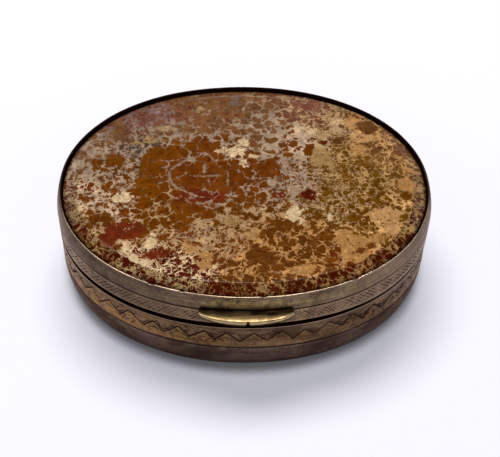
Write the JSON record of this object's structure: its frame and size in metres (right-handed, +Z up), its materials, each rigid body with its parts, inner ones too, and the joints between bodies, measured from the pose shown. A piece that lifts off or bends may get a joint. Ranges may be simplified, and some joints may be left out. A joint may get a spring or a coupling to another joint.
{
  "type": "snuff box",
  "caption": "Oval hinged snuff box with a mottled stone plaque set in the lid, an engraved metal body and a crescent thumbpiece.",
  "frame": {"origin": "centre of the oval base's flat underside", "axes": "+X along the oval's length, +Y towards the hinge at the back, +Z up; the thumbpiece faces -Y"},
  "size_m": [0.066, 0.0567, 0.0209],
  "materials": {
    "tarnished_metal": "dull grey-brown tarnish, worn smooth",
    "engraved_metal": "tarnished, rubbed golden on the raised parts",
    "worn_gilding": "worn gilding, satin",
    "pin_steel": "drawn wire",
    "mottled_stone": "polished, mottled ochre, red-brown and cream",
    "setting_cement": "dark resinous cement"
  },
  "bodies": {
    "box_body": {"body_pan": "tarnished_metal", "body_band": "engraved_metal", "body_inner_rim": "worn_gilding", "body_hinge_bearer": "tarnished_metal", "body_knuckle_1": "tarnished_metal", "body_knuckle_2": "tarnished_metal", "body_knuckle_3": "tarnished_metal", "body_knuckle_4": "tarnished_metal", "hinge_pin": "pin_steel"},
    "lid": {"lid_band": "engraved_metal", "lid_bezel": "tarnished_metal", "lid_plate": "worn_gilding", "stone_bedding": "setting_cement", "stone_plaque": "mottled_stone", "thumbpiece": "worn_gilding", "lid_hinge_bearer": "tarnished_metal", "lid_knuckle_1": "tarnished_metal", "lid_knuckle_2": "tarnished_metal", "lid_knuckle_3": "tarnished_metal"}
  },
  "joints": [
    {"name": "lid_hinge", "type": "hinge", "parent": "box_body", "child": "lid", "pos_m": [0, 0.02735, 0.01367], "axis": [-1, 0, 0], "range_deg": [0, 105]}
  ]
}
